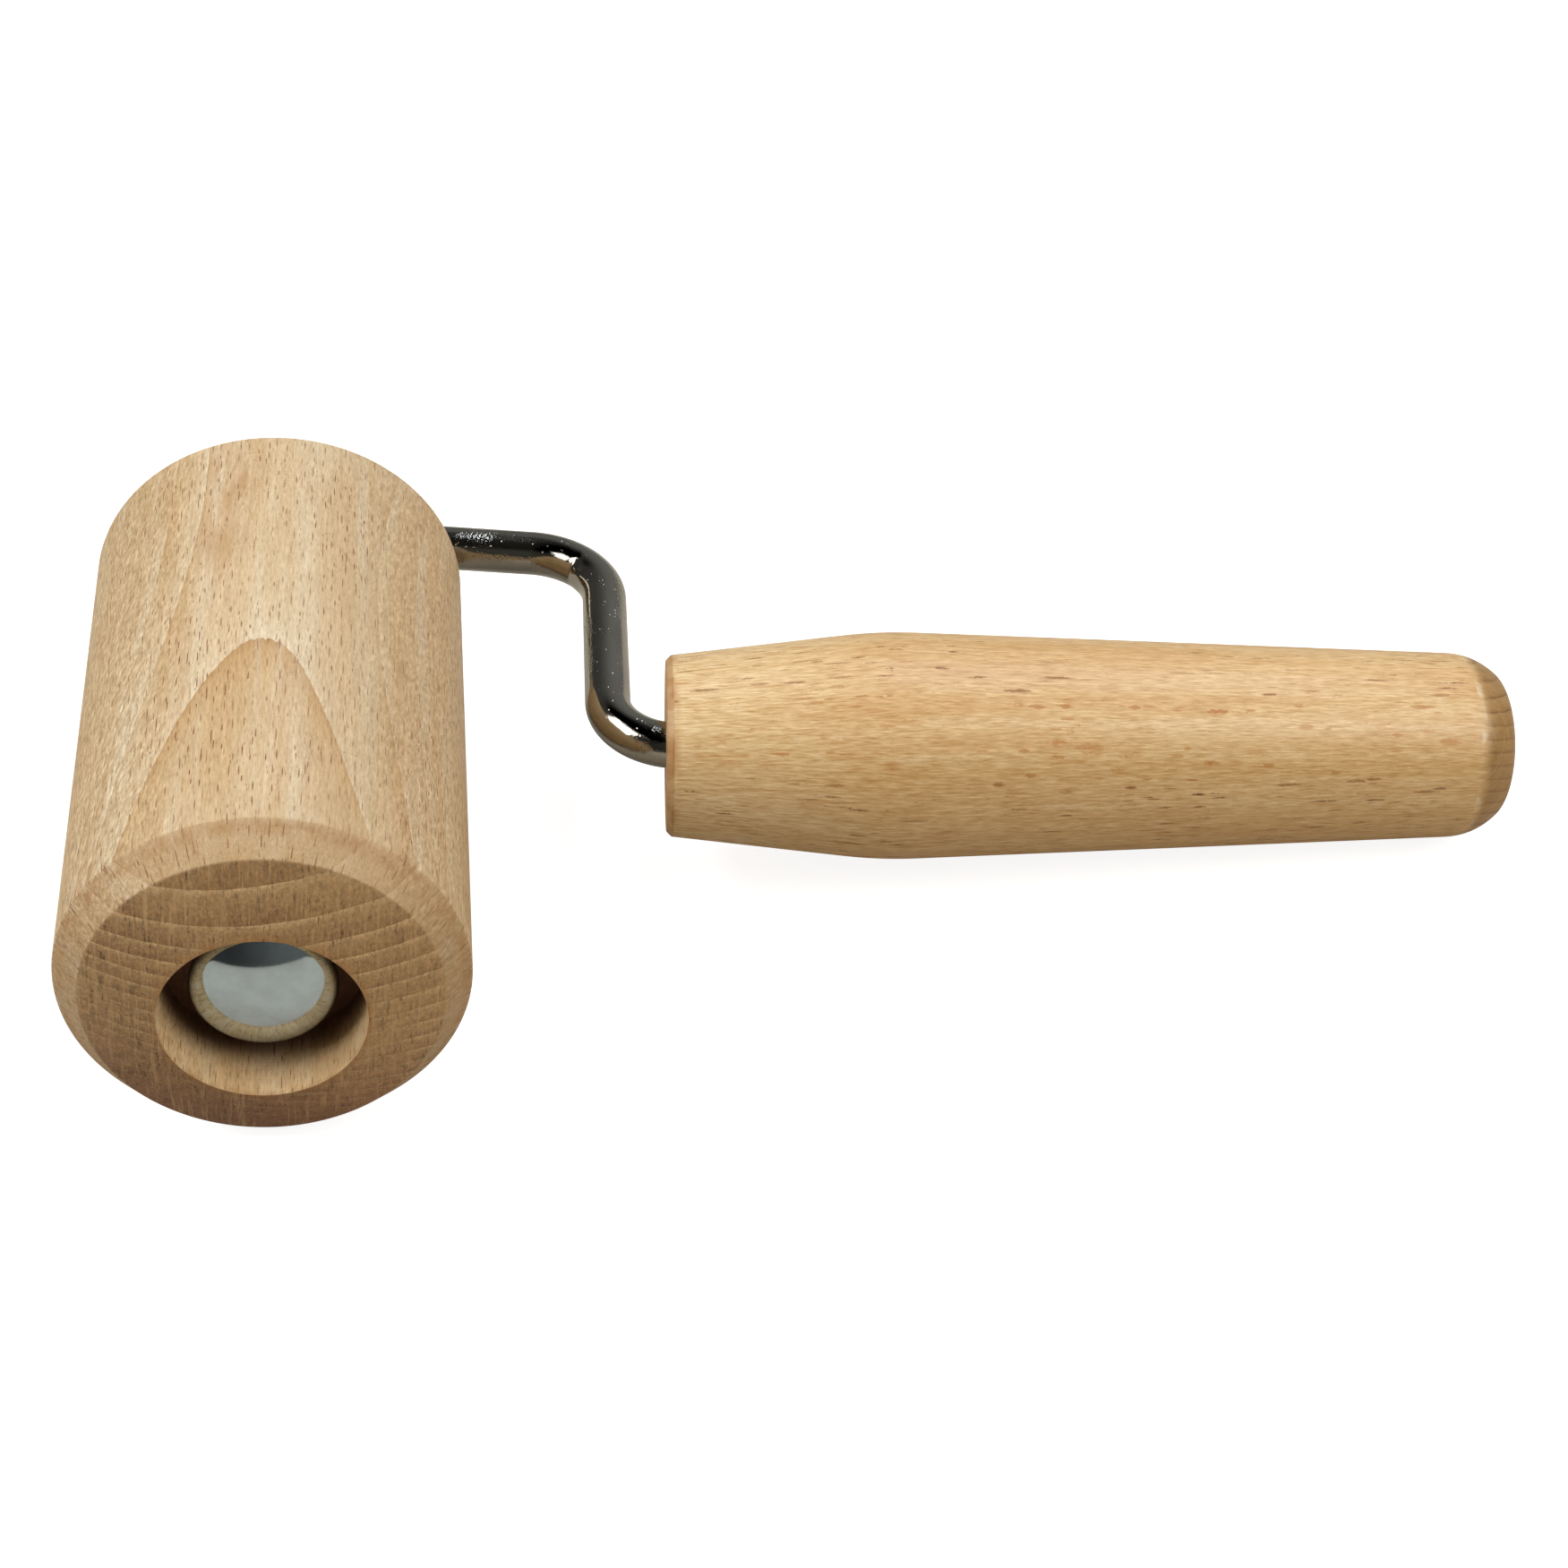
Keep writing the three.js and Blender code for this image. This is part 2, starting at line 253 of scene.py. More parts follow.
# Beech, for both turned pieces. A grain is a noise: its size across, along and out of the wood in
# millimetres, its detail and its roughness. A mask is nothing at its first number and full at its second.
beechTexture = {
    "wander": ((9, 45, 9), 2.0),
    "fray": ((0.5, 9, 0.5), 2.0, 0.6),
    "patch": ((11, 30, 11), 2.0),
    "ringBlur": ((0.3, 20, 0.3), 2.0),
    "streak": ((3.2, 60, 3.2), 2.0),
    "strand": ((0.7, 11, 0.7), 2.0),
    "lathed": ((1, 0.3, 1), 2.0),
    "lathedPatch": ((20, 9, 20), 1.0),
    "smear": ((1.6, 9, 1.6), 2.0),
    "coarse": ((0.5, 1.6, 0.5), 3.0, 0.65),
    "sway": ((14, 26, 14), 1.0),
    "crowd": ((13, 22, 13), 1.0),
    "mottle": ((2.4, 40, 1.2), 3.0, 0.68),
    "pore": ((0.34, 6, 0.4), 2.0, 0.65),
    "darkComb": ((0.34, 30, 1.8), 2.0, 0.6),
    "paleComb": ((0.3, 30, 5.5), 3.0, 0.6),
    "crease": ((2.6, 2.6, 2.6), 2.0),
    "burnish": ((2.2, 2.2, 2.2), 2.0),
    "quarterMask": (0.86, 0.99),
    "boldMask": (-3, 1.5),  # from the innermost bold ring
    "patchMask": (0.35, 0.65),
    "bevelMask": (0.3, 0.6),
    "neckHighlightMask": (2, 34),
    "rightFlankShadeMask": (5, 22),
    "lathedMask": (0.45, 0.7),
    "topMask": (0, 4),
    "smearMask": (0.2, 1.0),
    "bevelPaintedLightMask": (8, 20),
    "bevelShadeMask": (2, 18),
    "leftMask": (3, 17),
    "rightMask": (9, 20),
    "crowdMask": (0.3, 0.7),
    "broadMask": (0.1, 0.6),
    "fineMask": (0.2, 0.8),
    "darkRayMask": (0.3, 1.0),
    "rayMask": (0.4, 1.0),
    "fadeMask": (20, 70),
    "darkCombMask": (0.56, 0.7),
    "paleCombMask": (0.5, 0.7),
    "boreMask": (12.55, 12.8),
    "creaseHighlightInMask": (0.125, 0.16),
    "creaseHighlightOutMask": (0.18, 0.26),
    "creaseHighlightMask": (0.46, 0.62),
    "burnishMask": (0.3, 0.65),
    "sideLeast": 0.55,  # least shares of the rings, and of the rays where they are few
    "endLeast": 0.35,
    "broadLeast": 0.6,
    "fineLeast": 0.4,
    "shortRay": 0.5,  # the shortest ray's part of the usual length
    "bevelFade": 0.55,
    "coarseLean": 0.3,
    "coarseRight": 0.7,
    "combSway": 0.3,
    "neckShow": 0.6,
    "roughFibre": 0.16,
    "roughRay": 0.1,
    "smoothFlake": 0.08,
    "fibreRise": 0.6,
    "veinRise": 0.5,
    "broadSink": 0.7,
    "fineSink": 0.4,
    "lathedRise": 0.25,
    "bumpDepth": 0.05,
}


def atLeast(least, share):  # the share, lifted so that it begins at the least
    return least + (1 - least) * share


def rayFlecks(at, cell, half, across, deep, torn):
    # One wood ray in each cell of a stretched Voronoi: a lens that is thin across, longer with the
    # grain by a length of its own, and deep towards the pith, with a torn edge. Returns its mask and
    # a number of its own.
    spaced = at.vector("DIVIDE", cell)
    cells = {"voronoi_dimensions": "3D"}
    nearest = at.add("TexVoronoi", cells, {"Vector": spaced, "Scale": 1.0}, "Position")
    away = spaced.vector("SUBTRACT", nearest).vector("MULTIPLY", cell)
    length = away.part("Y")
    width = away.vector("DOT_PRODUCT", across, "Value") / half[0]
    depth = away.vector("DOT_PRODUCT", deep, "Value") / half[2]
    reach = (beechTexture["shortRay"] + nearest.twin("Color").part("Y")) * half[1]
    lens = (width * width + depth * depth) ** 0.5 + (length / reach) ** 2 + torn
    return 1 - lens.ease(*beechTexture["rayMask"]), nearest.twin("Color").part("X")


def beech(name, grain, look):
    # Solid wood: ring sheets are levels of one height field, and the rays stand square to them.
    texture = beechTexture
    finish, shader, wood = newFinish(name, look["constants"])
    turn = Matrix([grain["across"], grain["along"], grain["outward"]])
    shift = -(turn @ grain["centre"]) / mm
    local = wood.add("TexCoord", {}, {}, "Object")
    local = local.add("Mapping", {}, {0: local, 1: shift, 2: turn.to_euler(), 3: (1 / mm,) * 3})
    x, y, z = (local.part(axis) for axis in "XYZ")
    inside = wood.add("CombineXYZ", {}, {0: x, 1: z}).vector("LENGTH", (0, 0, 0), "Value")
    widen = grain["girth"] / inside.math("MAXIMUM", grain["girthFrom"])  # tapers carry their grain along
    flow = wood.add("CombineXYZ", {}, {0: x * widen, 1: y, 2: z * widen})
    slope = wood.add("Attribute", {"attribute_name": "endGrain"}, {}, "Fac")
    end = slope.ease(*look["endFrom"])
    rim = wood.add("Attribute", {"attribute_name": "rim"}, {}, "Fac")
    quarter = wood.add("Attribute", {"attribute_name": "quarterSawn"}, {}, "Fac")
    quarter = quarter.ease(*texture["quarterMask"])

    # growth rings
    wander = (local.noise(*texture["wander"]) - 0.5) * grain["wander"]
    wander = wander + (local.noise(*texture["fray"]) - 0.5) * grain["fray"]
    sheet = z + grain["lean"] * x + grain["fall"] * y + grain["bow"] * y * y
    sheet = sheet + grain["twist"] * x * y + grain["fan"] * x * z + wander
    edges = grain["ringEdges"]
    years = (sheet.math("MINIMUM", edges[0]) - edges[0]) / grain["fineRing"]
    for low, high in zip(edges, edges[1:]):
        years = years + sheet.climb(low, high)
    growth = 1 - years.math("FRACT")
    bold = sheet.ease(*(edges[0] + step for step in texture["boldMask"]))  # the outer rings are the bold ones
    patchy = local.noise(*texture["patch"]).ease(*texture["patchMask"])
    sideShow = look["faintRing"] + (look["boldRing"] - look["faintRing"]) * bold
    sideShow = sideShow * atLeast(texture["sideLeast"], patchy)
    bevel = slope.ease(*texture["bevelMask"])
    sideShow = sideShow * (1 - texture["bevelFade"] * bevel)
    ringTone = growth.add("ValToRGB", {"stops": look["sideRing"]}, {0: growth})
    side = sideShow.blend(look["plain"], ringTone)
    endShow = look["faintEnd"] + (look["boldEnd"] - look["faintEnd"]) * bold
    endShow = endShow * atLeast(texture["endLeast"], patchy)
    blurred = (growth + (local.noise(*texture["ringBlur"]) - 0.5) * look["endBlur"]).climb(0.0, 1.0)
    ringTone = blurred.add("ValToRGB", {"stops": look["endRing"]}, {0: blurred})
    cut = endShow.blend(look["endPlain"], ringTone)

    # streaks, strands, fibres and turning marks
    streak = flow.noise(*texture["streak"]) - 0.5
    strand = flow.noise(*texture["strand"]) - 0.5
    vein = flow.noise(*grain["vein"]) - 0.5
    fibre = flow.noise(*grain["fibre"]) - 0.5
    lathed = wood.add("CombineXYZ", {}, {1: y}).noise(*texture["lathed"]) - 0.5
    tint = (streak * look["warmStreak"] + strand * look["warmStrand"] + 0.5).climb(0.0, 1.0)
    side = (tint * 2 - 1).climb(0.0, 1.0).blend(side, look["warm"])
    side = (1 - tint * 2).climb(0.0, 1.0).blend(side, look["cream"])
    # painted highlight: the side grain turns cream towards the handle's neck, where the lamp's satin sheen
    # falls
    side = ((1 - y.ease(*texture["neckHighlightMask"])) * look["neckHighlight"]).blend(side, look["cream"])
    # painted shade: the right flank blends towards the warm tone, as on the side turned away from the left
    # lamp
    side = (x.ease(*texture["rightFlankShadeMask"]) * look["rightFlankShade"]).blend(side, look["warm"])
    marks = lathed * local.noise(*texture["lathedPatch"]).ease(*texture["lathedMask"])
    lines = look["streak"] * streak + look["strand"] * strand + look["vein"] * vein
    side = side.stain(lines + look["fibre"] * fibre + look["lathed"] * marks, look["grainShares"])
    smeared = local.noise(*texture["smear"]).ease(*grain["smearPatch"]) * z.ease(*texture["topMask"])
    for place, size, strength in grain["smears"]:
        away = wood.add("CombineXYZ", {}, {0: x, 1: y}).vector("SUBTRACT", place).vector("DIVIDE", size)
        smear = 1 - away.vector("LENGTH", (0, 0, 0), "Value").ease(*texture["smearMask"])
        side = (smear * smeared * strength).blend(side, look["smearTone"])
    side = (bevel * look["bevelWarm"]).blend(side, look["warm"])
    # painted light and shade on the bevel: lighter where it faces up, darker down its sides
    litBevelTop = look["bevelPaintedLight"] * z.ease(*texture["bevelPaintedLightMask"])
    shaded = look["bevelShade"] * (1 - z.ease(*texture["bevelShadeMask"]))
    side = side.shade(1 + bevel * (litBevelTop - shaded))
    leaning = wood.add("CombineXYZ", {}, {0: x - texture["coarseLean"] * y, 1: y, 2: z})
    flank = (x * -1).ease(*texture["leftMask"]) + texture["coarseRight"] * x.ease(*texture["rightMask"])
    coarse = (leaning.noise(*texture["coarse"]) - 0.5) * flank
    side = side.stain(look["coarse"] * coarse, look["grainShares"])

    # rays: dark dashes where they are cut across, and flakes where they lie flat
    sway = (flow.noise(*texture["sway"]) - 0.5) * grain["sway"]
    rayPlace = wood.add("CombineXYZ", {}, {0: x * widen + sway, 1: y, 2: z * widen})
    across, deep = (1, 0, 0), (0, 0, 1)
    if grain["dashesAllRound"]:
        across = wood.add("CombineXYZ", {}, {0: z, 2: x * -1}).vector("NORMALIZE", (0, 0, 0))
        deep = wood.add("CombineXYZ", {}, {0: x, 2: z}).vector("NORMALIZE", (0, 0, 0))
    torn = (flow.noise(*grain["tear"]) - 0.5) * grain["torn"]
    broad, broadChance = rayFlecks(rayPlace, grain["broadCell"], grain["broadRay"], across, deep, torn)
    fine, fineChance = rayFlecks(rayPlace, grain["fineCell"], grain["fineRay"], across, deep, torn)
    crowd = local.noise(*texture["crowd"]).ease(*texture["crowdMask"])
    broad = broad * broadChance.ease(*texture["broadMask"]) * atLeast(texture["broadLeast"], crowd)
    fine = fine * fineChance.ease(*texture["fineMask"]) * atLeast(texture["fineLeast"], crowd)
    rayTone = broadChance.ease(*texture["darkRayMask"]).blend(look["paleRay"], look["ray"])
    rayTone = quarter.blend(rayTone, look["flake"])
    side = (fine * look["fineShow"]).blend(side, rayTone)
    faded = look["flakeFade"] * quarter * (1 - y.ease(*texture["fadeMask"]))
    side = (broad * (look["broadShow"] - faded)).blend(side, rayTone)

    # end grain: darker, mottled and redder towards the heart, with rays that stand up from the pith
    mottle = local.noise(*texture["mottle"]) - 0.5
    pore = local.noise(*texture["pore"]) - 0.5
    combed = x - grain["rayLean"] * z + sway * texture["combSway"]
    comb = wood.add("CombineXYZ", {}, {0: combed, 1: y, 2: z})
    dark = comb.noise(*texture["darkComb"]).ease(*texture["darkCombMask"])
    pale = comb.noise(*texture["paleComb"]).ease(*texture["paleCombMask"])
    cut = (1 - sheet.ease(*grain["heart"])).blend(cut, look["heartTone"])
    cut = cut.shade(1 + look["endMottle"] * mottle + look["endPore"] * pore - look["endDash"] * dark
                    + look["endDrift"] * x)
    cut = (pale * look["endRay"]).blend(cut, look["endRayTone"])
    cut = (texture["neckShow"] * (1 - y.ease(*grain["neck"]))).blend(cut, look["neckTone"])

    # counterbores, pale at their mouth from painted light and dark inside from painted shade, then the neck's
    # crease with a painted highlight, and the burnished edges
    colour = end.blend(side, cut)
    bored = 1 - inside.ease(*texture["boreMask"])
    mouth = y.math("ABSOLUTE").ease(*grain["paintedBoreSpan"])
    # painted light at the counterbore's mouth, brighter towards the right, and painted shade: a dark tone
    # deep inside where the cap's shadow falls
    colour = colour.shade(1 + bored * (1 - end) * mouth * (look["paintedBoreLight"] + look["paintedBoreLightTilt"] * x))
    colour = (bored * (1 - mouth) * look["paintedBoreShade"]).blend(colour, look["paintedBoreShadeTone"])
    # painted highlight: a pale line along the crease where the bevel begins
    crease = slope.ease(*texture["creaseHighlightInMask"]) * (1 - slope.ease(*texture["creaseHighlightOutMask"]))
    crease = crease * local.noise(*texture["crease"]).ease(*texture["creaseHighlightMask"])
    colour = (crease * look["crease"]).blend(colour, look["creaseHighlightTone"])
    burnish = rim * local.noise(*texture["burnish"]).ease(*texture["burnishMask"]) * look["burnish"]
    colour = burnish.blend(colour, look["burnishTone"])
    colour.into(shader, "Base Color")

    rough = look["roughness"] + texture["roughFibre"] * fibre + texture["roughRay"] * broad
    rough = rough - texture["smoothFlake"] * quarter
    rough.into(shader, "Roughness")
    height = fibre * texture["fibreRise"] + vein * texture["veinRise"] - broad * texture["broadSink"]
    height = height - fine * texture["fineSink"] + lathed * texture["lathedRise"]
    depth = texture["bumpDepth"] * mm
    bump = wood.add("Bump", {}, {"Strength": look["bump"], "Distance": depth, "Height": height})
    bump.into(shader, "Normal")
    return finish


# Roller: a closed outline through the bore, both counterbores, the domed ends, bevels and barrel
rollerShape = {
    "domeRise": 3.75,  # height of each crowned end above its bevel
    "bevelLength": 4.0,
    "bevelDepth": 3.2,
    "counterbore": 12.5,
    "counterboreDepth": 11.0,
    "bore": 3.3,
    "softEdge": 0.2,
    "domeSteps": 26,
    "rimWidth": 0.7,
    "step": 0.9,
    "sides": 224,
}

rollerGrain = {
    "centre": axleMid,
    "across": (1, 0, 0),
    "along": (0, 1, 0),
    "outward": (0, 0, 1),
    "lean": 0.311,  # slopes and bends of the ring sheets
    "fall": -0.0811,
    "bow": 0.00145,
    "twist": 0.00353,
    "fan": -0.00972,
    "wander": 0.35,
    "fray": 0.16,
    "vein": ((0.45, 6.0, 0.45), 2.0, 0.6),
    "fibre": ((0.24, 1.6, 0.24), 2.0, 0.65),
    "heart": (-22, 8),
    "neck": (-90, -80),
    "paintedBoreSpan": (37.5, 44.5),
    "girth": 25.0,
    "girthFrom": 25.0,
    "smears": [  # brown marks: place, size and strength
        ((-3.4, 32.0, 0.0), (5.0, 11.0, 1.0), 0.7),
        ((-5.0, 19.0, 0.0), (5.0, 13.0, 1.0), 0.5),
    ],
    "smearPatch": (0.3, 0.62),
    "ringEdges": (16.4, 18.6, 21.5, 25.5, 37.0),  # levels of the bold rings
    "fineRing": 2.1,
    "sway": 0.9,
    "tear": ((0.3, 0.8, 0.3), 2.0, 0.6),
    "torn": 0.9,
    "rayLean": 0.1,
    "dashesAllRound": True,
    "broadCell": (1.25, 3.0, 1.25),
    "broadRay": (0.115, 1.2, 3.0),
    "fineCell": (0.7, 1.8, 0.7),
    "fineRay": (0.08, 0.62, 1.6),
}

rollerLook = {
    "constants": {"Specular IOR Level": 0.35},
    "plain": paint(217, 186, 140),
    "sideRing": [(0.0, paint(235, 214, 179)), (0.1, paint(228, 203, 164)), (0.5, paint(220, 190, 148)),
                 (0.92, paint(213, 179, 133)), (0.98, paint(205, 165, 115)), (1.0, paint(192, 148, 98))],
    "boldRing": 1.0,
    "faintRing": 0.3,
    "warm": paint(206, 166, 118),
    "warmStreak": 1.1,
    "warmStrand": 0.25,
    "cream": paint(241, 223, 191),
    "streak": 0.1,
    "strand": 0.28,
    "vein": 0.32,
    "fibre": 0.6,
    "lathed": 0.22,
    "grainShares": (1.0, 1.3, 1.72),  # dark grain is the browner
    "smearTone": paint(190, 142, 92),
    "ray": paint(130, 68, 24),
    "paleRay": paint(174, 116, 62),
    "flake": paint(130, 68, 24),
    "broadShow": 0.92,
    "flakeFade": 0.0,
    "fineShow": 0.7,
    "bevelShade": 0.2,
    "bevelPaintedLight": 0.1,
    "bevelWarm": 0.15,
    "neckHighlight": 0.0,
    "rightFlankShade": 0.4,
    "coarse": 1.35,
    "paintedBoreLight": 0.36,
    "paintedBoreLightTilt": 0.016,
    "paintedBoreShade": 0.85,
    "paintedBoreShadeTone": paint(84, 44, 34),
    "neckTone": paint(182, 143, 94),
    "endFrom": (0.47, 0.94),
    "endPlain": paint(184, 146, 100),
    "endRing": [(0.0, paint(214, 179, 132)), (0.1, paint(198, 161, 114)), (0.26, paint(180, 143, 99)),
                (0.7, paint(168, 130, 88)), (1.0, paint(154, 116, 76))],
    "boldEnd": 1.0,
    "faintEnd": 0.8,
    "heartTone": paint(145, 97, 74),
    "endDrift": 0.005,
    "endBlur": 0.3,
    "endMottle": 0.65,
    "endPore": 1.3,
    "endDash": 0.42,
    "endRay": 0.58,
    "endRayTone": paint(206, 170, 122),
    "crease": 0.0,
    "creaseHighlightTone": paint(240, 220, 185),
    "burnish": 0.5,
    "burnishTone": paint(176, 116, 58),
    "roughness": 0.55,
    "bump": 0.4,
}


def rollerOutline(shape):
    # One half is drawn from the middle of the bore to the middle of the barrel; the crown is an arc
    # through the counterbore's rim and the bevel's, and the other half is its mirror.
    radius, rim = rollerRadius, rollerHalf
    floor = rim - shape["counterboreDepth"]
    bevelRim = rim - shape["domeRise"]
    bevelRadius = radius - shape["bevelDepth"]
    reach, rise = shape["counterbore"], shape["domeRise"]
    middle = (reach ** 2 + rise ** 2 - bevelRadius ** 2) / (2 * rise)
    crown = hypot(bevelRadius, middle)
    turn = np.linspace(atan2(rise - middle, reach), atan2(-middle, bevelRadius), shape["domeSteps"])
    dome = np.stack([crown * np.cos(turn), bevelRim + middle + crown * np.sin(turn)], 1)
    shoulder = (radius, bevelRim - shape["bevelLength"])
    corners = [(shape["bore"], 0), (shape["bore"], floor), (reach, floor), *dome, shoulder, (radius, 0)]
    soft = shape["softEdge"]
    blends = [soft / 2, soft / 2, soft / 2, *[0] * (len(dome) - 2), soft, soft]
    half = divided(rounded(corners, blends), shape["step"])
    mirror = half[::-1] * (1, -1)
    # burnished at the counterbore's rim and a quarter of the way up the bevel
    edges = [(reach, rim), (radius - shape["bevelDepth"] / 4, shoulder[1] + shape["bevelLength"] / 4)]
    edges += [(across, -along) for across, along in edges]
    return np.vstack([half, mirror[1:-1]]), edges


outline, edges = rollerOutline(rollerShape)
roller = lathe("beechRoller", outline, axleMid, alongAxle, rollerShape["sides"], edges,
               rollerShape["rimWidth"], wraps=True, flat=rollerGrain["across"])
roller.data.materials.append(beech("rollerBeech", rollerGrain, rollerLook))
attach(roller, "roller")
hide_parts("roller")
print("roller turned:", len(roller.data.polygons), "faces")


# Handle: two tapers that meet in a rounded crest, a bevelled butt and a blind bore for the rod
handleShape = {
    "length": 114.3,
    "neckRadius": 12.1,
    "neckBevel": 0.7,
    "neckLean": (tan(radians(4.1)), 6.0),  # the neck is sawn off out of square: slope and reach
    "neckSide": (0.642, -0.767),  # its longest side, out of the rod's plane and along the axle
    "crestRadius": 15.36,
    "crestPlace": 28.7,
    "crestBlend": 5.0,
    "tailRadius": 12.53,
    "tailBlend": 3.3,
    "buttLength": 3.8,
    "buttRadius": 9.45,
    "buttBlend": 1.4,
    "socket": 3.3,
    "socketDepth": 48.3,
    "drillPoint": 1.9,
    "softEdge": 0.2,
    "blendSteps": 10,
    "rimWidth": 0.3,
    "step": 0.9,
    "sides": 192,
    "flakeTilt": 42,  # degrees above the table, towards the front, where the rays lie flat
}

neck = Vector(buttFace["pos_m"]) - alongHandle * handleShape["length"] * mm
flakeTilt = radians(handleShape["flakeTilt"])
handleAcross = sin(flakeTilt) * outOfPlane - cos(flakeTilt) * alongAxle

handleGrain = {
    "centre": neck,
    "across": handleAcross,
    "along": alongHandle,
    "outward": handleAcross.cross(alongHandle),
    "lean": 0.10,
    "fall": 0.012,
    "bow": 0.0001,
    "twist": 0.0012,
    "fan": 0.004,
    "wander": 1.4,
    "fray": 0.3,
    "vein": ((0.4, 8.0, 0.4), 2.0, 0.6),
    "fibre": ((0.2, 2.2, 0.2), 2.0, 0.65),
    "heart": (-60, -50),
    "neck": (3, 9),
    "paintedBoreSpan": (0, 1),
    "girth": 14.0,
    "girthFrom": 8.4,
    "smears": [((0.0, 60.0, 0.0), (9.0, 50.0, 1.0), 0.3)],
    "smearPatch": (0.42, 0.62),
    "ringEdges": (30.0, 33.0),
    "fineRing": 1.9,
    "sway": 0.5,
    "tear": ((0.3, 0.6, 0.3), 2.0, 0.6),
    "torn": 1.5,
    "rayLean": 0.05,
    "dashesAllRound": False,
    "broadCell": (0.8, 4.6, 1.9),
    "broadRay": (0.14, 1.9, 0.8),
    "fineCell": (0.45, 2.8, 1.0),
    "fineRay": (0.075, 1.25, 0.36),
}

handleLook = {
    "constants": {"Specular IOR Level": 0.5},
    "plain": paint(223, 180, 122),
    "sideRing": [(0.0, paint(232, 197, 146)), (0.3, paint(227, 189, 136)), (0.9, paint(219, 178, 123)),
                 (0.98, paint(206, 160, 106)), (1.0, paint(200, 152, 98))],
    "boldRing": 0.2,
    "faintRing": 0.2,
    "warm": paint(208, 158, 98),
    "warmStreak": 1.2,
    "warmStrand": 0.5,
    "cream": paint(239, 207, 156),
    "streak": 0.08,
    "strand": 0.32,
    "vein": 0.36,
    "fibre": 0.85,
    "lathed": 0.0,
    "grainShares": (1.0, 1.7, 2.6),
    "smearTone": paint(206, 150, 88),
    "ray": paint(126, 68, 26),
    "paleRay": paint(180, 122, 64),
    "flake": paint(200, 130, 60),
    "broadShow": 1.0,
    "flakeFade": 0.6,
    "fineShow": 0.85,
    "bevelShade": 0.0,
    "bevelPaintedLight": 0.0,
    "bevelWarm": 0.0,
    "neckHighlight": 0.6,
    "rightFlankShade": 0.0,
    "coarse": 0.0,
    "paintedBoreLight": 0.0,
    "paintedBoreLightTilt": 0.0,
    "paintedBoreShade": 0.0,
    "paintedBoreShadeTone": paint(84, 44, 34),
    "neckTone": paint(226, 190, 140),
    "endFrom": (0.118, 0.34),
    "endPlain": paint(168, 127, 73),
    "endRing": [(0.0, paint(186, 145, 92)), (0.75, paint(174, 132, 80)), (0.9, paint(140, 96, 52)),
                (1.0, paint(124, 82, 42))],
    "boldEnd": 1.0,
    "faintEnd": 1.0,
    "heartTone": paint(180, 140, 91),
    "endDrift": 0.0,
    "endBlur": 0.06,
    "endMottle": 0.3,
    "endPore": 0.5,
    "endDash": 0.12,
    "endRay": 0.2,
    "endRayTone": paint(212, 174, 122),
    "crease": 0.5,
    "creaseHighlightTone": paint(246, 226, 190),
    "burnish": 0.75,
    "burnishTone": paint(176, 110, 56),
    "roughness": 0.44,
    "bump": 0.4,
}


def handleOutline(shape):
    # From the middle of the butt along the outside to the neck, then down the bore to its drill point.
    length, bevel = shape["length"], shape["neckBevel"]
    socket, depth = shape["socket"], shape["socketDepth"]
    corners = [(0, length), (shape["buttRadius"], length),
               (shape["tailRadius"], length - shape["buttLength"]),
               (shape["crestRadius"], shape["crestPlace"]), (shape["neckRadius"], bevel),
               (shape["neckRadius"] - bevel, 0), (socket, 0), (socket, depth),
               (0, depth + shape["drillPoint"])]
    soft = shape["softEdge"]
    blends = [shape["buttBlend"], shape["tailBlend"], shape["crestBlend"], soft, soft, soft, 0]
    return divided(rounded(corners, blends, shape["blendSteps"]), shape["step"]), corners[4:7]


outline, edges = handleOutline(handleShape)
neckSide = handleShape["neckSide"][0] * outOfPlane + handleShape["neckSide"][1] * alongAxle
handle = lathe("beechHandle", outline, neck, alongHandle, handleShape["sides"], edges,
               handleShape["rimWidth"], poles=(True, True), flat=handleAcross,
               lean=(*handleShape["neckLean"], neckSide))
handle.data.materials.append(beech("handleBeech", handleGrain, handleLook))
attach(handle, "handle_and_rod")
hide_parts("handle")
print("handle turned:", len(handle.data.polygons), "faces")


# Rod: one round wire, bent three times in a plane, with a pinched stop behind the rear washer
rodShape = {
    "radius": 3.08,
    "wire": 3.0,  # radius that the centre line is laid out for
    "chamfer": 0.6,
    "fingerGap": 16.0,
    "crossGap": 0.42,
    "crossLean": radians(5.8),
    "armLean": radians(2.0),
    "bends": (9.0, 11.0, 9.2),
    "handleOffset": 4.4,
    "bendInside": 1.7,  # the last bend ends this far inside the handle
    "tangDepth": 48.0,
    "earStart": 38.7,
    "earLength": 2.6,
    "earReach": 1.5,
    "earPinch": 0.9,
    "creaseDepth": 0.25,  # pinched inside of the bend between cross arm and arm
    "creaseLength": 1.1,
    "creaseSpread": 0.9,
    "creaseAngle": 0.85 * pi,
    "axleSlack": 0.01,  # points this near to the axle's line are on it
    "step": 0.8,
    "sides": 48,
}


def rodCorners(shape):
    # Corners of the centre line in the plane of the bends: away from the axle, and along it.
    lean, spread = tan(shape["crossLean"]), tan(shape["armLean"])
    cross = rollerHalf + shape["crossGap"] + shape["wire"] / cos(shape["crossLean"])
    cross += rollerShape["counterbore"] * lean
    arm = rollerRadius + shape["fingerGap"] + shape["wire"]
    far = (arm + spread * (cross - shape["handleOffset"])) / (1 + spread * lean)
    lastTurn = pi / 2 + shape["armLean"]
    handleStart = arm + shape["bends"][-1] * tan(lastTurn / 2) - shape["bendInside"]
    tip = (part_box("bent_rod")[0].y - axleMid.y) / mm
    return np.array([(0, tip), (0, cross), (far, cross - lean * far), (arm, shape["handleOffset"]),
                     (handleStart + shape["tangDepth"], shape["handleOffset"])])


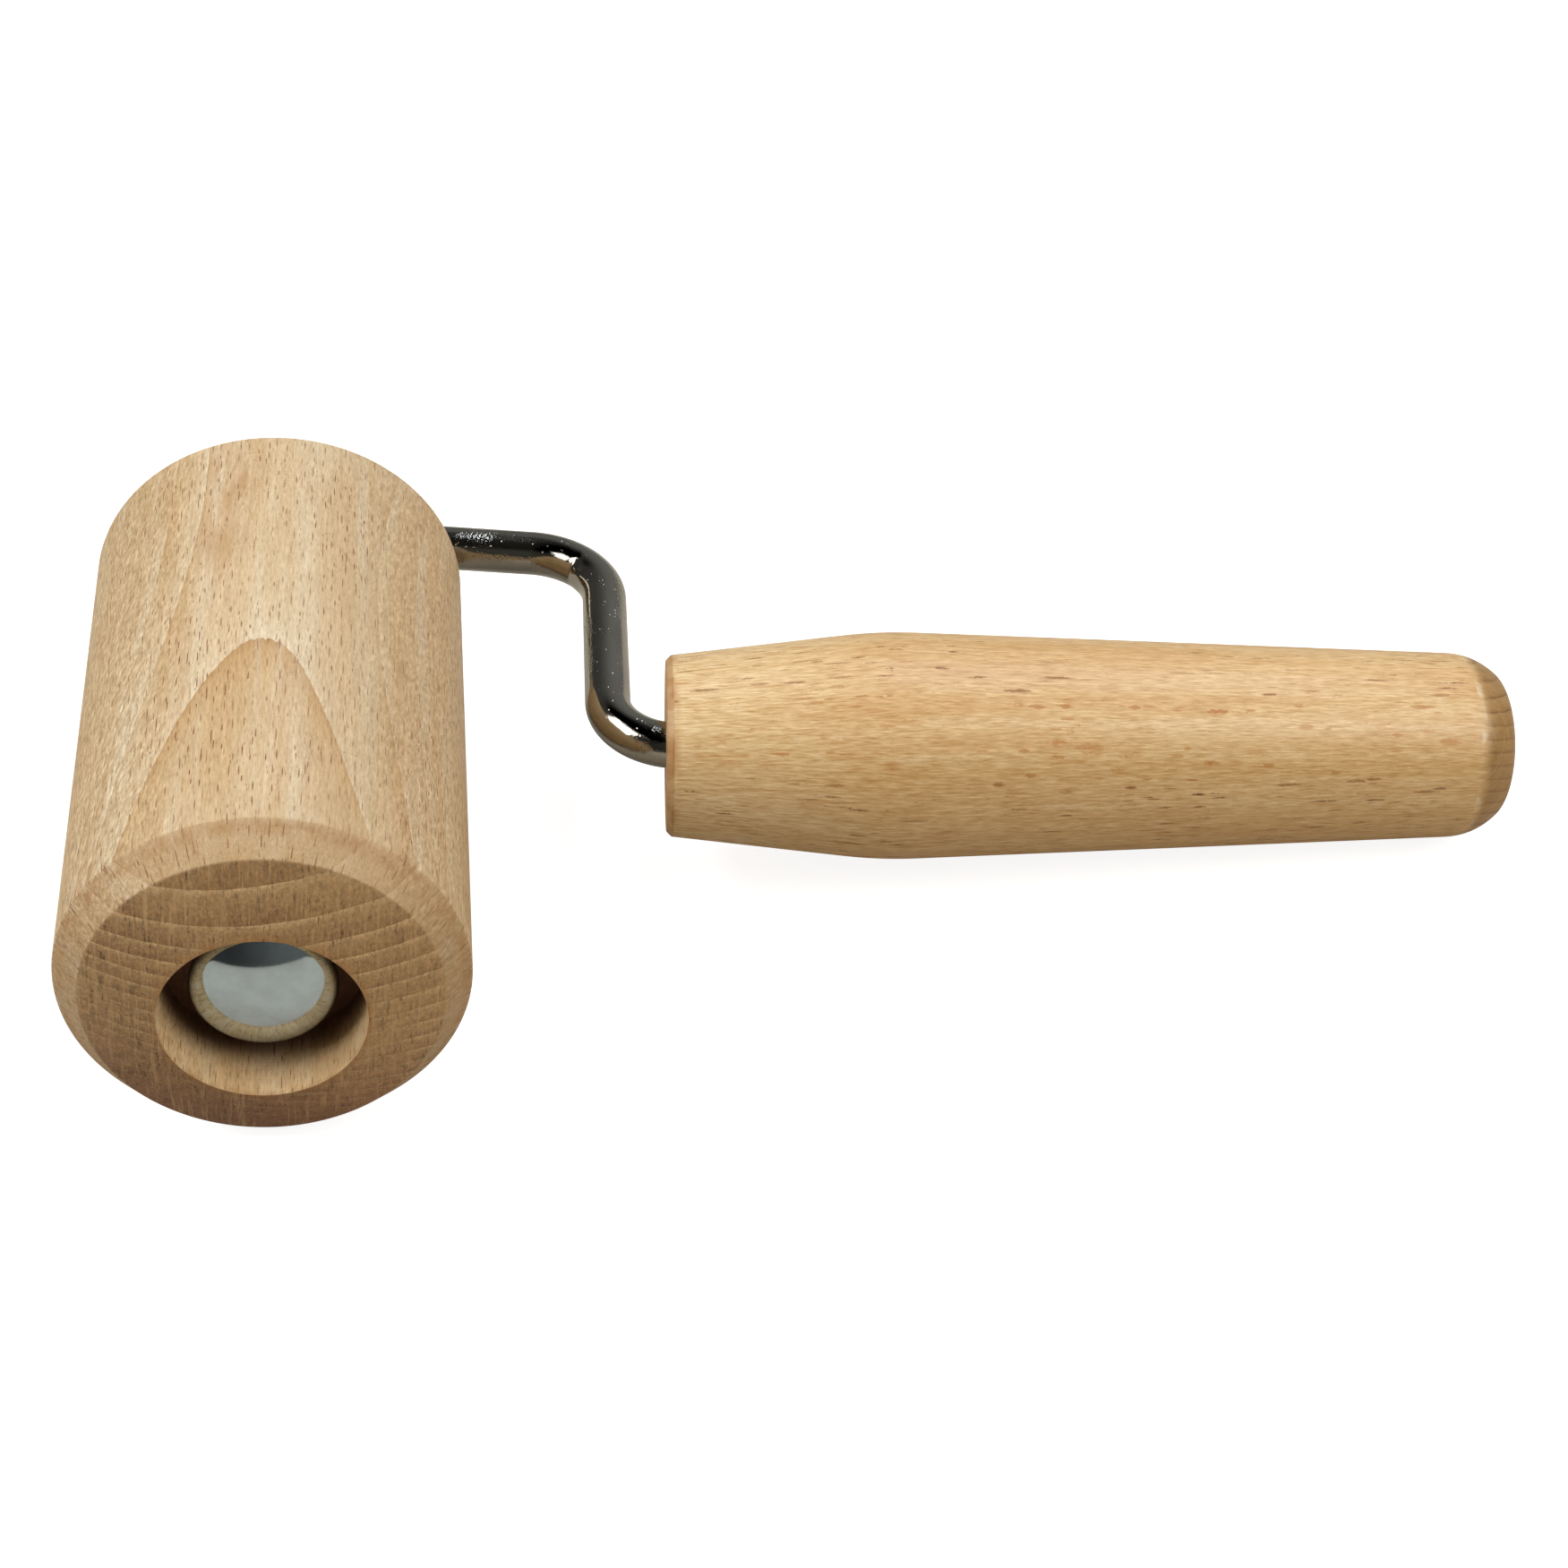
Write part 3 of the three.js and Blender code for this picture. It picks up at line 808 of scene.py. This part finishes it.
def bentPath(corners, bends, step):
    # Straight runs joined by arcs tangent to both: an arc takes radius * tan(half the turn) off each run.
    parts = [corners[:1]]
    for before, corner, after, radius in zip(corners, corners[1:], corners[2:], bends):
        into = (corner - before) / np.linalg.norm(corner - before)
        out = (after - corner) / np.linalg.norm(after - corner)
        turn = atan2(into[0] * out[1] - into[1] * out[0], into @ out)
        side = np.array([-into[1], into[0]]) * np.sign(turn)
        start = corner - into * radius * tan(abs(turn) / 2)
        angle = np.linspace(0, abs(turn), int(abs(turn) * radius / step * 2) + 2)[:, None]
        parts.append(start + radius * (np.sin(angle) * into + (1 - np.cos(angle)) * side))
    return divided(np.vstack(parts + [corners[-1:]]), step)


def sweptRod(shape):
    # A ring at each point of the path, wide in the plane of the bends and thick across it; both ends
    # are chamfered and closed by a pole.
    path = bentPath(rodCorners(shape), shape["bends"], shape["step"])
    path = np.vstack([path[:1], path[:1], path[:1] + (0, shape["chamfer"]), path[1:-1],
                      path[-1:] - (shape["chamfer"], 0), path[-1:], path[-1:]])
    heading = np.gradient(path, axis=0)
    heading[:2], heading[-2:] = (0, 1), (1, 0)
    heading /= np.linalg.norm(heading, axis=1)[:, None]
    length = np.concatenate([[0], np.cumsum(np.linalg.norm(np.diff(path, axis=0), axis=1))])
    radius = np.full(len(path), shape["radius"])
    radius[[1, -2]] -= shape["chamfer"]
    radius[[0, -1]] = 0
    fromEar = np.minimum(path[:, 1] - shape["earStart"], shape["earStart"] + shape["earLength"] - path[:, 1])
    ear = np.clip(fromEar / (shape["earLength"] / 4), 0, 1)  # full after a quarter of its length
    ear = ear * (np.abs(path[:, 0]) < shape["axleSlack"])
    wide = radius + shape["earReach"] * ear
    thick = radius - shape["earPinch"] * ear
    angle = np.linspace(0, 2 * pi, shape["sides"], endpoint=False)
    side = np.stack([-heading[:, 1], heading[:, 0]], 1)
    bend = np.linalg.norm(path - rodCorners(shape)[2], axis=1).argmin()
    crease = shape["creaseDepth"] * np.exp(-((length - length[bend]) / shape["creaseLength"]) ** 2)[:, None]
    crease = crease * np.exp(-((angle - shape["creaseAngle"]) / shape["creaseSpread"]) ** 2)
    inPlane = path[:, None] + ((wide[:, None] - crease) * np.cos(angle))[:, :, None] * side[:, None]
    outward = (thick[:, None] - crease) * np.sin(angle)
    grid = np.array(axleMid) + mm * (inPlane[..., :1] * np.array(alongHandle)
                                     + inPlane[..., 1:] * np.array(alongAxle)
                                     + outward[..., None] * np.array(outOfPlane))
    around = np.broadcast_to(angle, outward.shape)
    straight = np.stack([np.cos(around), np.sin(around), np.broadcast_to(length[:, None], outward.shape)], 2)
    return skin("bentRod", grid, {"straightRod": straight}, poles=(True, True))


rodLook = {
    "tone": paint(172, 168, 156),
    "hazeTone": paint(163, 158, 145),
    "pitTone": paint(110, 102, 90),
    "drawn": ((0.05, 0.05, 9.0), 3.0),  # round the rod, in radii, and along it in millimetres
    "haze": ((0.8, 0.8, 6.0), 3.0),
    "grit": ((0.1, 0.1, 0.5), 2.0, 0.6),
    "worn": ((1.4, 1.4, 7.0), 2.0),
    "pitCell": (0.22, 0.22, 0.66),
    "hazeMask": (0.3, 0.7),
    "wornMask": (0.48, 0.66),
    "pitMask": (0.06, 0.28),
    "pitChance": (0.5, 0.7),
    "pitLeast": 0.3,
    "pitShow": 0.4,
    "roughness": 0.085,
    "hazeRough": 0.1,
    "drawnRough": 0.05,
    "pitRough": 0.15,
    "drawnRise": 0.3,
    "pitSink": 6,
    "hazeRise": 0.4,
    "gritRise": 0.4,
    "wornRise": 5.0,
    "bump": 0.4,
    "bumpDepth": 0.05,
}


def nickel(name, look):
    # Bright plate over drawn wire: faint lines along the rod, small pits and a breath of haze.
    finish, shader, plate = newFinish(name, {"Metallic": 1.0})
    along = plate.add("Attribute", {"attribute_name": "straightRod"}, {}, "Vector")
    drawn = along.noise(*look["drawn"]) - 0.5
    haze = along.noise(*look["haze"])
    grit = along.noise(*look["grit"]) - 0.5
    spaced = along.vector("DIVIDE", look["pitCell"])
    pits = along.add("TexVoronoi", {}, {"Vector": spaced, "Scale": 1.0})
    worn = along.noise(*look["worn"]).ease(*look["wornMask"])
    pit = (1 - pits.ease(*look["pitMask"])) * pits.twin("Color").part("X").ease(*look["pitChance"])
    pit = pit * atLeast(look["pitLeast"], worn)
    colour = haze.ease(*look["hazeMask"]).blend(look["tone"], look["hazeTone"])
    colour = (pit * look["pitShow"]).blend(colour, look["pitTone"])
    colour.into(shader, "Base Color")
    rough = look["roughness"] + look["hazeRough"] * haze * haze + look["drawnRough"] * drawn
    (rough + look["pitRough"] * pit).into(shader, "Roughness")
    height = drawn * look["drawnRise"] - pit * look["pitSink"] + haze * look["hazeRise"]
    height = height + grit * (look["gritRise"] + look["wornRise"] * worn)
    depth = look["bumpDepth"] * mm
    bump = plate.add("Bump", {}, {"Strength": look["bump"], "Distance": depth, "Height": height})
    bump.into(shader, "Normal")
    return finish


rod = sweptRod(rodShape)
rod.data.materials.append(nickel("nickelRod", rodLook))
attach(rod, "handle_and_rod")
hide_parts("bent_rod")
print("rod bent:", len(rod.data.polygons), "faces")


# Cap: a drawn dome whose lip is rolled in behind the spring nut
capShape = {
    "radius": 9.0,
    "rise": 4.25,
    "crown": 15.7,  # radius of the dome, up to its rolled shoulder
    "shoulder": 8.0,
    "skirt": 2.1,
    "wall": 0.6,
    "lip": 2.0,
    "domeSteps": 36,
    "shoulderSteps": 14,
    "lipSteps": 40,
    "sides": 144,
}

capLook = {"tone": paint(200, 215, 223), "hazeTone": paint(190, 204, 212), "roughness": 0.05}

# haze, scratches and waves of all plated fittings, sized in millimetres
plateTexture = {
    "haze": ((2.2, 2.2, 2.2), 4.0, 0.6),
    "scratch": ((0.06, 1.2, 1.6), 2.0),
    "scratchPatch": ((3, 3, 3), 1.0),
    "wave": ((1.6, 1.6, 1.6), 1.0),
    "hazeMask": (0.3, 0.7),
    "scratchMask": (0.62, 0.72),
    "patchMask": (0.45, 0.6),
    "hazeRough": 0.1,
    "scratchRough": 0.12,
    "scratchSink": 0.3,
    "bump": 0.15,
    "bumpDepth": 0.02,
}


def capOutline(shape):
    # The dome is an arc and then a parabola that ends upright; the lip is a quarter ellipse. The inner
    # wall is the same outline made smaller.
    quarter = np.linspace(0, pi / 2, shape["lipSteps"])[:, None]
    rise, skirt, wall = shape["rise"], shape["skirt"], shape["wall"]
    outer, lip = shape["radius"], shape["lip"]
    centre = np.array([outer - lip, 0])
    slope = asin(shape["shoulder"] / shape["crown"])
    turn = np.linspace(0, slope, shape["domeSteps"])[:, None]
    arc = np.hstack([shape["crown"] * np.sin(turn), shape["crown"] * (1 - np.cos(turn)) - rise])
    pull = np.array([outer, arc[-1, 1] + (outer - shape["shoulder"]) * tan(slope)])
    ease = np.linspace(0, 1, shape["shoulderSteps"])[1:, None]
    bend = (1 - ease) ** 2 * arc[-1] + 2 * ease * (1 - ease) * pull + ease ** 2 * np.array([outer, 0])
    dome = np.vstack([arc, bend]) / (outer, rise)
    roll = np.hstack([np.cos(quarter), np.sin(quarter)])
    return np.vstack([dome * (outer, rise), centre + (roll * (lip, skirt))[1:],
                      centre + (roll * (lip - wall, skirt - wall))[::-1],
                      (dome * (outer - wall, rise - wall))[::-1][1:]])


def plated(name, look):
    # Plated steel: tumbled haze, fine handling scratches and a slightly wavy face.
    texture = plateTexture
    finish, shader, plate = newFinish(name, {"Metallic": 1.0})
    local = plate.add("TexCoord", {}, {}, "Object").vector("DIVIDE", (mm, mm, mm))
    haze = local.noise(*texture["haze"])
    scratch = local.noise(*texture["scratch"]).ease(*texture["scratchMask"])
    scratch = scratch * local.noise(*texture["scratchPatch"]).ease(*texture["patchMask"])
    haze.ease(*texture["hazeMask"]).blend(look["tone"], look["hazeTone"]).into(shader, "Base Color")
    rough = look["roughness"] + texture["hazeRough"] * haze * haze + texture["scratchRough"] * scratch
    rough.into(shader, "Roughness")
    wave = local.noise(*texture["wave"]) - texture["scratchSink"] * scratch
    depth = texture["bumpDepth"] * mm
    bump = plate.add("Bump", {}, {"Strength": texture["bump"], "Distance": depth, "Height": wave})
    bump.into(shader, "Normal")
    return finish


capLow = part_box("end_cap")[0]
capBase = Vector((axleMid.x, capLow.y + capShape["rise"] * mm, axleMid.z))
cap = lathe("domedCap", capOutline(capShape), capBase, alongAxle, capShape["sides"], poles=(True, True))
cap.data.materials.append(plated("capPlate", capLook))
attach(cap, "handle_and_rod")
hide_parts("end_cap")
print("cap drawn:", len(cap.data.polygons), "faces")


# Thrust washers at the two counterbore floors, and the spring nut under the cap
washerShape = {
    "radius": 6.0,
    "bore": 3.3,
    "thickness": 1.6,
    "softEdge": 0.25,
    "blendSteps": 4,
    "step": 0.5,
    "sides": 96,
}

washerLook = {"tone": paint(160, 162, 166), "hazeTone": paint(140, 143, 148), "roughness": 0.28}
springLook = {"tone": paint(92, 95, 104), "hazeTone": paint(78, 80, 90), "roughness": 0.3}
washerFinish = plated("washerZinc", washerLook)


def washer(node, shape):
    # A flat ring turned from a loop: up the bore, out over the top, down the rim and back underneath.
    half, soft = shape["thickness"] / 2, shape["softEdge"]
    corners = [(shape["bore"], 0), (shape["bore"], half), (shape["radius"], half), (shape["radius"], -half),
               (shape["bore"], -half), (shape["bore"], 0)]
    ring = divided(rounded(corners, [soft] * 4, shape["blendSteps"]), shape["step"])[:-1]
    low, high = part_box(node)
    piece = lathe(node + "Ring", ring, (low + high) / 2, alongAxle, shape["sides"], wraps=True)
    piece.data.materials.append(washerFinish)
    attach(piece, "handle_and_rod")
    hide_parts(node)


for node in ("front_washer", "rear_washer"):
    washer(node, washerShape)

springNut = frame["nodes"]["spring_nut"]
springNut.data.materials.clear()
springNut.data.materials.append(plated("bluedSpring", springLook))
print("washers and spring nut finished")


# Studio: a table that the camera sees as white, with its soft shadow, a dim room and three soft boxes
studio = {
    "tableSize": 1.8,
    "tableDrop": 0.0001,
    "tableColour": (0.50, 0.45, 0.37, 1.0),
    "tableSeen": (0.46, 0.46, 0.46, 1.0),  # as the camera sees it, so that its shadow is grey
    "white": (1.0, 1.0, 1.0, 1.0),
    "whiteNear": 0.88,  # light that the camera sees the table add to its own
    "whiteFar": 1.0,
    "whiteFrom": 0.12,
    "whiteTo": 0.36,
    "whiteInMetal": 0.045,
    "roomFront": (0.082, 0.08, 0.073, 1.0),
    "roomBack": (0.167, 0.17, 0.172, 1.0),
    "roomEdge": (-0.2, 0.6),  # where the back wall begins and is full
    "roomEdgeInMetal": (0.2, 0.75),
    "roomTop": (0.62, 0.85),
    "roomTopShade": 0.75,  # how much darker the metal mirrors what is overhead
    "roomSides": (-0.5, 0.5),
    "roomTurn": 1.1,  # how much darker the metal mirrors the left of the room than its right
    "softBoxes": {
        "leftBox": {"place": (-0.89, -0.05, 0.77), "aim": (-0.03, 0.0, 0.02), "size": (0.75, 0.75),
                    "power": 8.7, "colour": (1, 1, 1)},
        "rightBox": {"place": (0.68, -0.42, 0.78), "aim": (-0.03, 0.0, 0.02), "size": (0.7, 0.7),
                     "power": 5.85, "colour": (1.0, 0.975, 0.925)},
        "handleStrip": {"place": (0.213, 0.27, 0.6), "aim": (0.213, 0.02, 0.02), "size": (0.31, 0.3),
                        "power": 1.52, "colour": (1.0, 1.13, 1.32)},
    },
}


def table(settings):
    half = settings["tableSize"] / 2
    mesh = bpy.data.meshes.new("table")
    edge = np.array([(-half, -half), (half, -half), (half, half), (-half, half)])
    mesh.from_pydata(np.column_stack([edge, np.full(4, -settings["tableDrop"])]).tolist(), [], [(0, 1, 2, 3)])
    piece = bpy.data.objects.new("table", mesh)
    bpy.context.scene.collection.objects.link(piece)
    finish = bpy.data.materials.new("tableWhite")
    finish.use_nodes = True
    finish.node_tree.nodes.clear()
    base = Wire(finish.node_tree)
    seen = base.add("LightPath", {}, {}, "Is Camera Ray")
    inMetal = seen.twin("Is Glossy Ray").math("MAXIMUM", seen.twin("Is Transmission Ray"))
    away = base.add("TexCoord", {}, {}, "Object").vector("LENGTH", (0, 0, 0), "Value")
    far = away.ease(settings["whiteFrom"], settings["whiteTo"])
    lift = seen * (settings["whiteNear"] + (settings["whiteFar"] - settings["whiteNear"]) * far)
    lift = lift + inMetal * settings["whiteInMetal"]
    matt = base.add("BsdfDiffuse", {}, {"Color": seen.blend(settings["tableColour"], settings["tableSeen"])})
    white = base.add("Emission", {}, {"Color": settings["white"], "Strength": lift})
    base.add("OutputMaterial", {}, {"Surface": base.add("AddShader", {}, {0: matt, 1: white})})
    mesh.materials.append(finish)


def room(settings):
    world = bpy.data.worlds.new("studioRoom")
    world.use_nodes = True
    world.node_tree.nodes.clear()
    base = Wire(world.node_tree)
    seen = base.add("LightPath", {}, {}, "Is Camera Ray")
    inMetal = seen.twin("Is Glossy Ray")
    towards = base.add("TexCoord", {}, {}, "Generated")
    behind = towards.part("Y").ease(*settings["roomEdge"])
    mirrored = towards.part("Y").ease(*settings["roomEdgeInMetal"])
    behind = behind + inMetal * (mirrored - behind)
    walls = behind.blend(settings["roomFront"], settings["roomBack"])
    turn = towards.part("X").ease(*settings["roomSides"]) - 0.5
    overhead = towards.part("Z").ease(*settings["roomTop"])
    walls = walls.shade(1 + inMetal * (turn * settings["roomTurn"] - overhead * settings["roomTopShade"]))
    dim = base.add("Background", {}, {"Color": walls, "Strength": 1.0})
    white = base.add("Background", {}, {"Color": settings["white"], "Strength": 1.0})
    base.add("OutputWorld", {}, {"Surface": base.add("MixShader", {}, {0: seen, 1: dim, 2: white})})
    bpy.context.scene.world = world


def softBox(name, box):
    lamp = bpy.data.lights.new(name, "AREA")
    lamp.shape = "RECTANGLE"
    lamp.size, lamp.size_y = box["size"]
    lamp.energy = box["power"]
    lamp.color = box["colour"]
    holder = bpy.data.objects.new(name, lamp)
    holder.location = box["place"]
    towards = Vector(box["aim"]) - Vector(box["place"])
    holder.rotation_euler = towards.to_track_quat("-Z", "Y").to_euler()
    bpy.context.scene.collection.objects.link(holder)


table(studio)
room(studio)
for name, box in studio["softBoxes"].items():
    softBox(name, box)
print("studio lit")


# Camera
view = {
    "place": (-0.035353, -0.322516, 0.28185),
    "azimuth": -5.661,  # degrees
    "elevation": 39.579,
    "lens": 71.656,  # millimetres, on a sensor of the given width
    "sensor": 36,
    "reach": (0.01, 50),
}


def lookAt(view):
    lens = bpy.data.cameras.new("camera")
    lens.lens = view["lens"]
    lens.sensor_width = view["sensor"]
    lens.clip_start, lens.clip_end = view["reach"]
    azimuth, elevation = radians(view["azimuth"]), radians(view["elevation"])
    towards = Vector((-sin(azimuth) * cos(elevation), cos(azimuth) * cos(elevation), -sin(elevation)))
    camera = bpy.data.objects.new("camera", lens)
    camera.location = view["place"]
    camera.rotation_euler = towards.to_track_quat("-Z", "Y").to_euler()
    bpy.context.scene.collection.objects.link(camera)
    bpy.context.scene.camera = camera


lookAt(view)
bpy.context.scene.view_settings.view_transform = "Standard"
print("camera placed")
